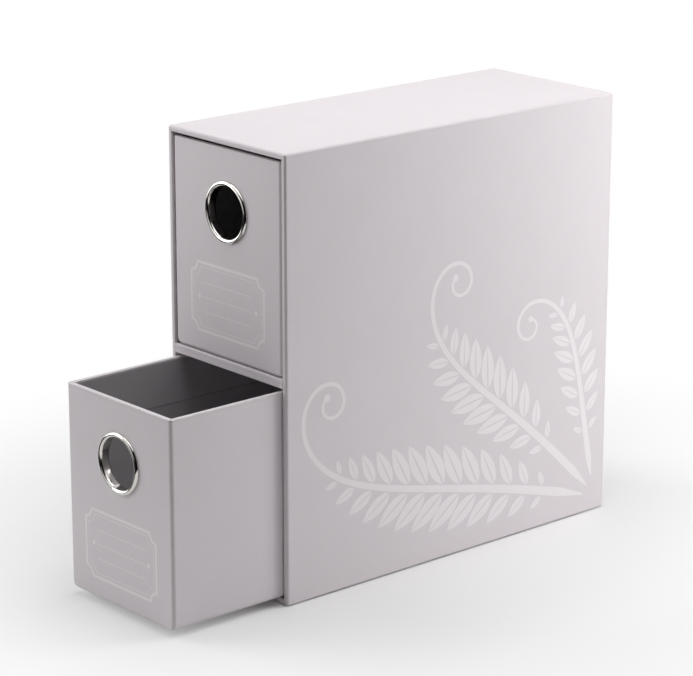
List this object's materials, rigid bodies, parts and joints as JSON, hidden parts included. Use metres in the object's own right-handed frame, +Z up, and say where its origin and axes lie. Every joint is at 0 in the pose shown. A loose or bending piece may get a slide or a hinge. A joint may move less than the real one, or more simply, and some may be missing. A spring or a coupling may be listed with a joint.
{
  "type": "playing card box with drawers",
  "caption": "Upright paper-covered board box for playing cards, with stacked open-topped drawers that slide out of its front by metal-rimmed thumb holes.",
  "frame": {"origin": "centre of the case's underside, where it rests on a table", "axes": "+X to the right seen from the front, +Y from the front towards the back, +Z up; the drawers slide out along -Y"},
  "size_m": [0.0886, 0.2882, 0.225],
  "materials": {
    "cover_paper": "pale warm grey, matt, faintly textured",
    "lining_paper": "dark grey, matt",
    "greyboard": "bare recycled board, hidden under the papers",
    "ring_metal": "polished nickel plate"
  },
  "bodies": {
    "case": {"left_wall_board": "greyboard", "right_wall_board": "greyboard", "back_wall_board": "greyboard", "top_wall_board": "greyboard", "bottom_wall_board": "greyboard", "shelf_lower_board": "greyboard", "shelf_upper_board": "greyboard", "case_wrap": "cover_paper", "case_lining": "lining_paper", "shelf_lower_wrap": "cover_paper", "shelf_upper_wrap": "cover_paper", "base_sheet": "cover_paper"},
    "upper_drawer": {"upper_drawer_front_board": "greyboard", "upper_drawer_back_board": "greyboard", "upper_drawer_left_board": "greyboard", "upper_drawer_right_board": "greyboard", "upper_drawer_floor_board": "greyboard", "upper_drawer_wrap": "cover_paper", "upper_drawer_lining": "lining_paper", "upper_thumb_ring": "ring_metal", "upper_ring_washer": "ring_metal"},
    "lower_drawer": {"lower_drawer_front_board": "greyboard", "lower_drawer_back_board": "greyboard", "lower_drawer_left_board": "greyboard", "lower_drawer_right_board": "greyboard", "lower_drawer_floor_board": "greyboard", "lower_drawer_wrap": "cover_paper", "lower_drawer_lining": "lining_paper", "lower_thumb_ring": "ring_metal", "lower_ring_washer": "ring_metal"}
  },
  "joints": [
    {"name": "upper_drawer_slide", "type": "slide", "parent": "case", "child": "upper_drawer", "axis": [0, -1, 0], "range_m": [0, 0.19]},
    {"name": "lower_drawer_slide", "type": "slide", "parent": "case", "child": "lower_drawer", "axis": [0, -1, 0], "range_m": [-0.0673, 0.1227]}
  ]
}
